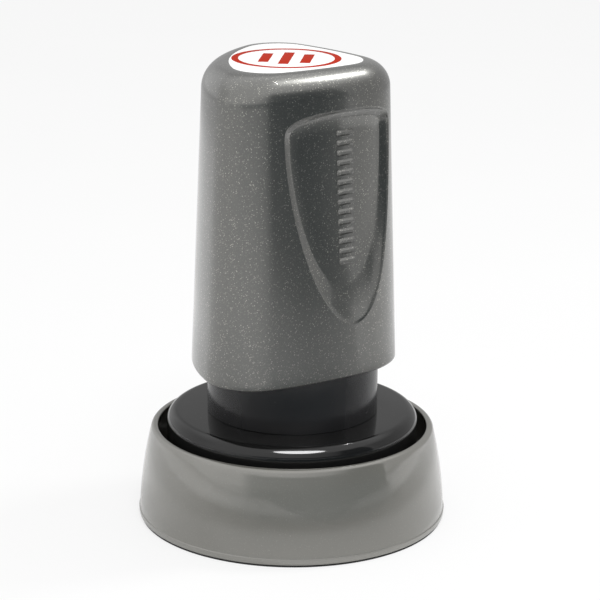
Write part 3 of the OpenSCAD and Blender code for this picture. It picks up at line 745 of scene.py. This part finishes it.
def dress(material, *names):
    """Gives a material to CAD nodes whose shape stays."""
    for name in names:
        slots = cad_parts[name].data.materials
        slots.clear()
        slots.append(material)


steel = turned_metal("steel", (0.6, 0.6, 0.59), 0.32)
brass = turned_metal("bush_brass", (0.72, 0.53, 0.24), 0.3)
dress(steel, "neck_screws", "spring_washer")
dress(brass, "guide_bush")

# The return spring: steel wire, coiled in seven turns that close up at both ends.
# It stands on its washer in the neck and presses the handle up; it is drawn at one length, though it
# shortens with each stroke.
spring_low = 22.0
spring_high = 44.4
spring_r = 8.2
wire_r = 0.6
spring_turns = 7
coil_steps = 60 * spring_turns
coil_sizes = ("Turns", "Coil radius", "Low end", "Run", "Wire radius")
coiling, given = piece_group("coil_spring", "Wire", dict.fromkeys(coil_sizes, "Float"))
wire_line = shape(coiling, "MeshToCurve", {"Mesh": given["Wire"]})
wire_share = shape(coiling, "SplineParameter")
full_turns = maths(coiling, "MULTIPLY", given["Turns"], 2 * math.pi)
wire_turn = maths(coiling, "MULTIPLY", wire_share, full_turns)
wire_x = maths(coiling, "MULTIPLY", maths(coiling, "COSINE", wire_turn), given["Coil radius"])
wire_y = maths(coiling, "MULTIPLY", maths(coiling, "SINE", wire_turn), given["Coil radius"])
eased = node(coiling, "ShaderNodeMapRange", {"Value": wire_share}, interpolation_type="SMOOTHSTEP")
both = maths(coiling, "ADD", eased.outputs["Result"], wire_share)
risen = maths(coiling, "MULTIPLY", both, 0.5)
wire_z = maths(coiling, "MULTIPLY_ADD", risen, given["Run"], given["Low end"])
wire_at = node(coiling, "ShaderNodeCombineXYZ", {"X": wire_x, "Y": wire_y, "Z": wire_z}).outputs[0]
coiled = shape(coiling, "SetPosition", {"Geometry": wire_line, "Position": wire_at})
wire_round = shape(coiling, "CurvePrimitiveCircle", {"Resolution": 14, "Radius": given["Wire radius"]})
drawn_values = {"Curve": coiled, "Profile Curve": wire_round, "Fill Caps": True}
drawn_wire = shape(coiling, "CurveToMesh", drawn_values)
end_piece_group(coiling, given, shape(coiling, "SetShadeSmooth", {"Geometry": drawn_wire}))
spring = mesh_piece(
    "spring_wire",
    [(i / 1000, 0, 0) for i in range(coil_steps + 1)],
    edges=[(i, i + 1) for i in range(coil_steps)],
)
spring_run = spring_high - spring_low - 2 * wire_r
in_metres = (size / 1000 for size in (spring_r, spring_low + wire_r, spring_run, wire_r))
coil_values = dict(zip(coil_sizes, (float(spring_turns), *in_metres)))
settled(applied(spring, coiling, {**coil_values, "Finish": steel}), sharp=60)
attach(spring, "skirt")
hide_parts("return_spring")
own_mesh(spring)

# The handle's core: a matt black plate and keyed sleeve in the shell, joined by three screws,
# with the steel stem, its washer and nut, and the cup that the spring presses on.
core_black = plain_plastic("core_black", (0.03, 0.03, 0.03), gloss=0.5, peel=900, wear_amount=0.5)
dress(core_black, "core_plate", "core_sleeve", "spring_cup")
dress(steel, "core_screws", "plunger_stem", "stem_washer", "stem_nut")

# The die holder: a matt black dish on the end of the stem, held by one screw from below,
# with a rubber ring on its back that stops it softly under the skirt's plate.
dress(core_black, "die_holder")
dress(steel, "holder_screw")
bumper_in = 15.675
bumper_out = 18.075
holder_back = 14.4
bumper = turned(
    "bumper_rubber",
    [
        (bumper_in, holder_back, 0.3), (bumper_out, holder_back, 0.3), (bumper_out, plate_under, 0.8),
        (bumper_in, plate_under, 0.8),
    ],
    rubber_grey,
)
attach(bumper, "handle")
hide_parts("bumper_ring")

# The ink pad: a disc of wool felt, soaked with red ink, laid in the holder behind the die.
# Its cut edge bulges a little where the bezel squeezes it.
felt_red, tree, place = piece_material("felt_red")
matted = {"Vector": place, "Scale": 2600.0, "Detail": 5.0, "Distortion": 1.5}
fibre = node(tree, "ShaderNodeTexNoise", matted).outputs["Fac"]
principled(tree, {
    "Base Color": mixed(tree, fibre, (0.2, 0.012, 0.012), (0.48, 0.06, 0.05)),
    "Roughness": ranged(tree, noise(tree, place, 180.0, 3.0), (0.55, 0.95)),
    "Sheen Weight": 0.4,
    "Sheen Roughness": 0.5,
    "Normal": bumped(tree, 0.8, 0.0002, fibre),
})
pad_r = 18.5
pad_bulge = 18.56
pad_low = 8.6
pad_high = 12.0
pad = turned(
    "felt_pad",
    [
        (0, pad_low, 0), (pad_r, pad_low, 0.8), (pad_bulge, (pad_low + pad_high) / 2, 0),
        (pad_r, pad_high, 0.8), (0, pad_high, 0),
    ],
    felt_red,
    ring=False,
)
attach(pad, "handle")
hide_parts("ink_pad")

# The die: microporous rubber that lets the ink through, with a raised ring and three plain bars.
# It is laid on the pad and held at its edge by the bezel.
die_red, tree, place = piece_material("die_red")
pores = node(tree, "ShaderNodeTexVoronoi", {"Vector": place, "Scale": 3200.0}).outputs["Distance"]
stain = noise(tree, place, 260.0, 4.0)
principled(tree, {
    "Base Color": mixed(tree, stain, (0.3, 0.03, 0.025), (0.52, 0.09, 0.07)),
    "Roughness": ranged(tree, stain, (0.3, 0.7)),
    "Normal": bumped(tree, 0.4, 0.0001, pores),
})
die_base = 7.6
die_print = 6.6
print_r = 17.35
print_ring = 1.6
die_face = turned(
    "die_face",
    [
        (0, die_base, 0), (print_r - print_ring, die_base, 0.2),
        (print_r - print_ring, die_print, 0.15), (print_r, die_print, 0.15), (print_r, die_base, 0.2),
        (pad_r, die_base, 0.15), (pad_r, pad_low, 0.1), (0, pad_low, 0),
    ],
    die_red,
    ring=False,
)
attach(die_face, "handle")
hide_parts("stamp_die")

# Raised bars with rounded corners and a chamfered top, each laid on a point of a surface
bar_sizes = ("Length", "Width", "Height", "Chamfer", "Corner")
barring, given = piece_group("raised_bars", "Places", dict.fromkeys(bar_sizes, "Float"))
edge_values = {"Width": given["Length"], "Height": given["Width"]}
bar_edge = shape(barring, "CurvePrimitiveQuadrilateral", edge_values)
round_values = {"Curve": bar_edge, "Count": 4, "Radius": given["Corner"]}
bar_round = shape(barring, "FilletCurve", round_values, mode="POLY")
bar_foot = shape(barring, "FillCurve", {"Curve": bar_round}, mode="NGONS")
wall_height = maths(barring, "SUBTRACT", given["Height"], given["Chamfer"])
wall_values = {"Mesh": bar_foot, "Offset Scale": wall_height}
bar_wall = node(barring, "GeometryNodeExtrudeMesh", wall_values).outputs
crown_values = {"Mesh": bar_wall["Mesh"], "Selection": bar_wall["Top"], "Offset Scale": given["Chamfer"]}
bar_crown = node(barring, "GeometryNodeExtrudeMesh", crown_values).outputs
both_chamfers = maths(barring, "MULTIPLY", given["Chamfer"], 2.0)
crown_x, crown_y = (
    maths(barring, "SUBTRACT", 1.0, maths(barring, "DIVIDE", both_chamfers, given[size]))
    for size in ("Length", "Width")
)
crown_scale = node(barring, "ShaderNodeCombineXYZ", {"X": crown_x, "Y": crown_y, "Z": 1.0}).outputs[0]
drawn_in = vectors(barring, "MULTIPLY", shape(barring, "InputPosition"), crown_scale)
top_values = {"Geometry": bar_crown["Mesh"], "Selection": bar_crown["Top"], "Position": drawn_in}
bar_top = shape(barring, "SetPosition", top_values)
bar_under = shape(barring, "FlipFaces", {"Mesh": bar_foot})
bar_both = node(barring, "GeometryNodeJoinGeometry")
barring.links.new(bar_top, bar_both.inputs[0])
barring.links.new(bar_under, bar_both.inputs[0])
bar_closed = shape(barring, "MergeByDistance", {"Geometry": bar_both.outputs[0], "Distance": 1e-6})
bar_facing, bar_along = (
    shape(barring, "InputNamedAttribute", {"Name": label}, data_type="FLOAT_VECTOR")
    for label in ("facing", "along")
)
bar_axes = {0: bar_facing, 1: bar_along}
bar_turning = node(barring, "FunctionNodeAxesToRotation", bar_axes, primary_axis="Z", secondary_axis="X")
laid_values = {"Points": given["Places"], "Instance": bar_closed, "Rotation": bar_turning.outputs[0]}
end_piece_group(barring, given, shape(barring, "InstanceOnPoints", laid_values))


def barred(name, places, sizes, material):
    """Bars of sizes in millimetres, in the order of bar_sizes, at places of (foot, facing, along)."""
    feet, *ways = (np.array(part, dtype=float) for part in zip(*places))
    piece = mesh_piece(name, feet / 1000)
    for label, way in zip(("facing", "along"), ways):
        piece.data.attributes.new(label, "FLOAT_VECTOR", "POINT").data.foreach_set("vector", way.ravel())
    values = {label: size / 1000 for label, size in zip(bar_sizes, sizes)}
    return settled(applied(piece, barring, {**values, "Finish": material}))


bar_sink = 0.01
bar_pitch = 4
die_bar_long, die_bar_wide = 25.6, 2
die_bars = barred(
    "die_bars",
    [((0, y, die_base + bar_sink), (0, 0, -1), (1, 0, 0)) for y in (-bar_pitch, 0, bar_pitch)],
    (die_bar_long, die_bar_wide, die_base - die_print + bar_sink, 0.15, 0.3),
    die_red,
)
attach(die_bars, "handle")

# The bezel: a turned aluminium ring, pressed over the holder's edge.
# Its lip holds the edge of the die.
bezel_metal = turned_metal("bezel_metal", (0.62, 0.62, 0.64), 0.28)
bezel_open = 17.7
bezel_r = 20.4
bezel_bore = 19.7
bezel_low = 7.0
bezel_high = 10.4
bezel = turned(
    "bezel_ring",
    [
        (bezel_open, bezel_low, 0.2), (bezel_r, bezel_low, 0.4), (bezel_r, bezel_high, 0.2),
        (bezel_bore, bezel_high, 0.15), (bezel_bore, die_base, 0.05), (bezel_open, die_base, 0.1),
    ],
    bezel_metal,
)
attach(bezel, "handle")
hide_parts("die_bezel")

# The handle: a hollow grip of rounded triangular section, moulded in gloss grey plastic with pale
# flake. It narrows a little upwards, its flat top has rounder rear corners than its sides,
# and a finger recess with a bevelled edge is pressed into each flank.
handle_grey = pearl_plastic(
    "handle_grey", (0.177, 0.177, 0.168), pale=(0.62, 0.61, 0.54),
    metal=0.9, gloss=0.3, cells=4300, share=0.27, lean=0.3, coat_ior=1.5, peel=600,
)
mouth = 29.6
handle_top = 82.8
draft = 0.038
flank_x = 16.7
nose_x = 5.7
flank_r = 70
flank_start = math.radians(42)
corner_r = 8.7
back_r = 37
back_inset = 1.1
nose_reach = nose_x * math.cos(flank_start) + math.sqrt(
    (flank_r - flank_x) ** 2 - (nose_x * math.sin(flank_start)) ** 2
)
nose_r = flank_r - nose_reach
flank_c = Vector((nose_x, 0)) - nose_reach * Vector((math.cos(flank_start), math.sin(flank_start)))
back_c = Vector((back_r - flank_x - back_inset, 0))
span = (back_c - flank_c).length
to_back = (back_c - flank_c) / span


def outline_arcs(corner):
    """The half outline's four arcs, in columns of centre x and y, radius, first and last angle."""
    along_span = ((flank_r - corner) ** 2 - (back_r - corner) ** 2 + span**2) / (2 * span)
    beside_span = math.sqrt((flank_r - corner) ** 2 - along_span**2)
    corner_c = flank_c + along_span * to_back + beside_span * Vector((-to_back.y, to_back.x))
    flank_end = math.atan2(*(corner_c - flank_c).yx)
    corner_end = math.atan2(*(corner_c - back_c).yx)
    return np.array([
        (nose_x, 0, nose_r, 0, flank_start),
        (*flank_c, flank_r, flank_start, flank_end),
        (*corner_c, corner, flank_end, corner_end),
        (*back_c, back_r, corner_end, math.pi),
    ]).T


top_round = 4.5
round_low = handle_top - top_round
round_d = draft * (round_low - mouth)
label_edge = 0.15
label_d = round_d + top_round + label_edge
label_t = 0.25
label_corner_r = 6
side_arcs = outline_arcs(corner_r)
top_arcs = outline_arcs(label_corner_r + label_d)
arc_stop = np.cumsum(side_arcs[2] * (side_arcs[4] - side_arcs[3]))
half_round = arc_stop[-1]


def outline(arcs, s, d):
    """Points of a half outline: s along the handle's side from the nose, d inside it, in millimetres."""
    k = np.minimum(np.searchsorted(arc_stop, s, side="right"), 3)
    before = np.concatenate([[0], arc_stop])[k]
    x, y, r, first, last = arcs[:, k]
    a = first + (last - first) * (s - before) / (arc_stop[k] - before)
    return np.stack([x + (r - d) * np.cos(a), y + (r - d) * np.sin(a)], -1)


recess_s = 15.0
recess_mid = 72.0
recess_deep = 1.32
rim_half, rim_up, rim_down = 12.3, 4.3, 32.9
rim_point, rim_lean, rim_bow = 1.6, 1.6, 2
floor_half, floor_up, floor_down = 10.75, 2.7, 25.9
floor_point, floor_lean, floor_bow = 1.65, -0.1, 0.5


def arch(turn, half, up, down, point, lean, bow):
    """Points (s, z) round an arch that is pointed below its broadest place and flat above it."""
    across, rise = np.abs(np.cos(turn)), np.abs(np.sin(turn))
    above = np.sin(turn) > 0
    across_power = np.where(above, 2.5, 2)
    rise_power = np.where(above, 3.4, point)
    near, far = np.full(len(turn), 0.5), np.full(len(turn), 1.5)
    for _ in range(40):
        reach = (near + far) / 2
        inside = (reach * across) ** across_power + (reach * rise) ** rise_power < 1
        near, far = np.where(inside, reach, near), np.where(inside, far, reach)
    z = recess_mid + near * np.sin(turn) * np.where(above, up, down)
    low_share = np.clip((recess_mid - z) / down, 0, 1)
    return np.stack([recess_s - lean * low_share**bow + near * np.cos(turn) * half, z], -1)


def floor_depth(z):
    """Depth of the recess's floor at a height."""
    up_share = (z - recess_mid + rim_down) / (rim_down + rim_up)
    return recess_deep * (1 - (1 - np.clip(up_share, 0, 1)) ** 3)


# The skin's rows run along the half outline, from the label's seat down to the mouth and up inside.
# The recess takes up a frame of these rows and columns.
frame_low_s, frame_high_s = 1.4, 28.6
frame_low, frame_high = 37.2, 77.6
columns = np.concatenate([
    np.linspace(0, frame_low_s, 4)[:-1],
    np.linspace(frame_low_s, frame_high_s, 79),
    np.linspace(frame_high_s, half_round, 61)[1:],
])
width = len(columns)
first_column = int(np.searchsorted(columns, frame_low_s - 0.01))
last_column = int(np.searchsorted(columns, frame_high_s - 0.01))
frame_z = np.concatenate([
    np.linspace(frame_high, recess_mid, 17),
    np.linspace(recess_mid, frame_low, 88)[1:],
])
seat = outline(top_arcs, columns, label_d)
grip_rows = [(seat, handle_top - label_t), (seat, handle_top)]
for a in np.radians(np.linspace(90, 0, 15)):
    inward = 1 - math.cos(a)
    fillet = (1 - inward) * outline(side_arcs, columns, round_d)
    fillet += inward * outline(top_arcs, columns, round_d + top_round)
    grip_rows.append((fillet, round_low + top_round * math.sin(a)))
first_row = len(grip_rows)
last_row = first_row + len(frame_z) - 1
lip_round = 0.6
for z in np.concatenate([frame_z, np.linspace(frame_low, mouth + lip_round, 12)[1:]]):
    grip_rows.append((outline(side_arcs, columns, draft * (z - mouth)), z))
for a in np.radians(np.linspace(0, 90, 6))[1:]:
    lip = outline(side_arcs, columns, lip_round * (1 - math.cos(a)))
    grip_rows.append((lip, mouth + lip_round * (1 - math.sin(a))))
core_top = 48.0
ceiling = 80.15
mouth_wall = 1.1
core_wall = 3.2
ceiling_wall = 6.5
wall_heights = (mouth, core_top, core_top, ceiling - ceiling_wall + core_wall, ceiling)
for z, wall in zip(wall_heights, (mouth_wall, mouth_wall, core_wall, core_wall, ceiling_wall)):
    grip_rows.append((outline(side_arcs, columns, wall + draft * (z - mouth)), z))
row_count = len(grip_rows)
grip_points = [np.column_stack([line, np.full(width, z)]) for line, z in grip_rows]
grip_faces = [
    grid_face(j, i, width)
    for j in range(row_count - 1)
    for i in range(width - 1)
    if not (first_row <= j < last_row and first_column <= i < last_column)
]
grip_faces += [tuple(range(width)), tuple(range((row_count - 1) * width, row_count * width))]

# In the frame, rings run from its edge to the rim, down the bevel and in to the middle of the floor.
# A small rounded step lies along the rim.
ring = np.array(
    [first_row * width + i for i in range(first_column, last_column)]
    + [j * width + last_column for j in range(first_row, last_row)]
    + [last_row * width + i for i in range(last_column, first_column, -1)]
    + [j * width + first_column for j in range(last_row, first_row, -1)]
)
frame_edge = np.stack([columns[ring % width], np.array([row[1] for row in grip_rows])[ring // width]], -1)
aside = (frame_edge[:, 0] - recess_s) / (frame_high_s - recess_s)
above = frame_edge[:, 1] - recess_mid
above = np.where(above > 0, above / (frame_high - recess_mid), above / (recess_mid - frame_low))
frame_turn = np.arctan2(above, aside)
rim = arch(frame_turn, rim_half, rim_up, rim_down, rim_point, rim_lean, rim_bow)
foot = arch(frame_turn, floor_half, floor_up, floor_down, floor_point, floor_lean, floor_bow)
slope = foot - rim
bevel = np.linalg.norm(slope, axis=1)
rim_step = 0.15
step_start, step_end = -0.16, 0.3
step_rings = [t / bevel for t in (step_start, -0.1, -0.04, 0.03, 0.1, 0.17, 0.24, step_end)]
bevel_rings = [step_rings[-1] + (1 - step_rings[-1]) * t for t in (0.2, 0.4, 0.6, 0.78, 0.9, 0.96, 1)]
to_step = rim + step_rings[0][:, None] * slope - frame_edge
frame_rings = [(frame_edge + to_step * t, 0, 0) for t in (0.35, 0.6, 0.8, 0.92)]
for share in step_rings + bevel_rings:
    stepped = np.clip((share * bevel - step_start) / (step_end - step_start), 0, 1)
    sloped = 1 - (1 - np.clip(share, 0, 1)) ** 1.25
    frame_rings.append((rim + share[:, None] * slope, stepped**2 * (3 - 2 * stepped), sloped))
floor_edge = frame_rings[-1][0]
middle_s, middle_z = recess_s, 64.0
floor_middle = np.array([middle_s, middle_z])
frame_rings += [(floor_middle + (floor_edge - floor_middle) * t, 1, 1) for t in (0.8, 0.6, 0.4, 0.2)]
ring_size = len(ring)
count = row_count * width
for line, stepped, sloped in frame_rings:
    s, z = line.T
    deep = rim_step * stepped + (floor_depth(z) - rim_step) * sloped
    grip_points.append(np.column_stack([outline(side_arcs, s, draft * (z - mouth) + deep), z]))
    inner_ring = np.arange(count, count + ring_size)
    grip_faces += [(ring[i - 1], ring[i], inner_ring[i], inner_ring[i - 1]) for i in range(ring_size)]
    ring = inner_ring
    count += ring_size
middle_d = draft * (middle_z - mouth) + floor_depth(middle_z)
grip_points.append(np.array([[*outline(side_arcs, np.array([middle_s]), middle_d)[0], middle_z]]))
grip_faces += [(ring[i - 1], ring[i], count) for i in range(ring_size)]
half_points = np.concatenate(grip_points) / 1000
half_count = len(half_points)
handle = mesh_piece(
    "handle_grip",
    np.concatenate([half_points, half_points * (1, -1, 1)]),
    [tuple(map(int, face)) for face in grip_faces]
    + [tuple(int(i) + half_count for i in reversed(face)) for face in grip_faces],
    handle_grey,
)
handle.data.shade_smooth()
settled(handle, sharp=38)
handle_glint.objects.link(handle)
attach(handle, "handle")
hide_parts("handle_shell")

# The grip bars: a ladder of plain raised bars on the floor of each recess, for the fingertip.
# They are moulded in one piece with the handle.
bar_s = 14.2
ladder_low, ladder_high, ladder_count = 50.2, 72.2, 14
grip_bar_sink = 0.05
grip_bar_long, grip_bar_wide, grip_bar_high = 3.6, 1.1, 0.45
bar_places = []
for z in np.linspace(ladder_low, ladder_high, ladder_count):
    bar_d = draft * (z - mouth) + floor_depth(z) + grip_bar_sink
    at, outer = outline(side_arcs, np.array([bar_s, bar_s]), np.array([bar_d, bar_d - 1]))
    for side in (1, -1):
        normal = (outer - at) * (1, side)
        facing = Vector((*normal, draft)).normalized()
        bar_places.append(((at[0], at[1] * side, z), facing, (-normal[1], normal[0], 0)))
grip_bar_sizes = (grip_bar_long, grip_bar_wide, grip_bar_high, 0.35, 0.4)
grip_bars = barred("grip_bars", bar_places, grip_bar_sizes, handle_grey)
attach(grip_bars, "handle")

# The label: a white plastic film in a shallow seat on top, printed in red with a ring and bars
# that show what the die prints.
label_white, tree, place = piece_material("label_white")
film_grain = noise(tree, place, 1400.0, 3.0)
bleed = ranged(tree, noise(tree, place, 3000.0, 2.0), (-0.00008, 0.00008))
ring_x, ring_r, ring_half = -0.0015, 0.0089, 0.0006
bar_wide_half = 0.0009
at = node(tree, "ShaderNodeSeparateXYZ", {0: place}).outputs
inner_x = maths(tree, "SUBTRACT", at["X"], ring_x)
inner = node(tree, "ShaderNodeCombineXYZ", {"X": inner_x, "Y": at["Y"]})
reach = node(tree, "ShaderNodeVectorMath", {0: inner.outputs[0]}, operation="LENGTH").outputs["Value"]
print_mask = maths(tree, "COMPARE", maths(tree, "ADD", reach, bleed), ring_r, ring_half)
bled_x = maths(tree, "ADD", inner_x, bleed)
for bar_x, bar_half in ((-0.0036, 0.0042), (0.0, 0.0056), (0.0036, 0.0042)):
    in_width = maths(tree, "COMPARE", bled_x, bar_x, bar_wide_half)
    in_length = maths(tree, "COMPARE", at["Y"], 0.0, bar_half)
    print_mask = maths(tree, "MAXIMUM", print_mask, maths(tree, "MULTIPLY", in_width, in_length))
paper = mixed(tree, film_grain, (0.87, 0.87, 0.86), (0.92, 0.92, 0.91))
ink = mixed(tree, film_grain, (0.38, 0.02, 0.006), (0.48, 0.03, 0.01))
principled(tree, {
    "Base Color": mixed(tree, print_mask, paper, ink),
    "Roughness": ranged(tree, film_grain, (0.32, 0.42)),
    "Specular IOR Level": 0.01,
    "Normal": bumped(tree, 0.08, 0.00004, film_grain),
})
label_rows = []
round_count = 2 * width - 2
for d, below in ((0.05, label_t), (0.05, 0.06), (0.07, 0.02), (0.12, 0)):
    side = outline(top_arcs, columns, label_d + d)
    whole_round = np.concatenate([side, side[-2:0:-1] * (1, -1)])
    label_rows.append(np.column_stack([whole_round, np.full(round_count, handle_top - below)]))
label_faces = [
    (j * round_count + i, j * round_count + k, (j + 1) * round_count + k, (j + 1) * round_count + i)
    for j in range(len(label_rows) - 1)
    for i, k in zip(range(round_count), [*range(1, round_count), 0])
]
label_faces += [tuple(range(round_count)), tuple(range(3 * round_count, 4 * round_count))]
label = mesh_piece("label_film", np.concatenate(label_rows) / 1000, label_faces, label_white)
label.data.shade_smooth()
settled(label)
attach(label, "handle")
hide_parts("index_label")
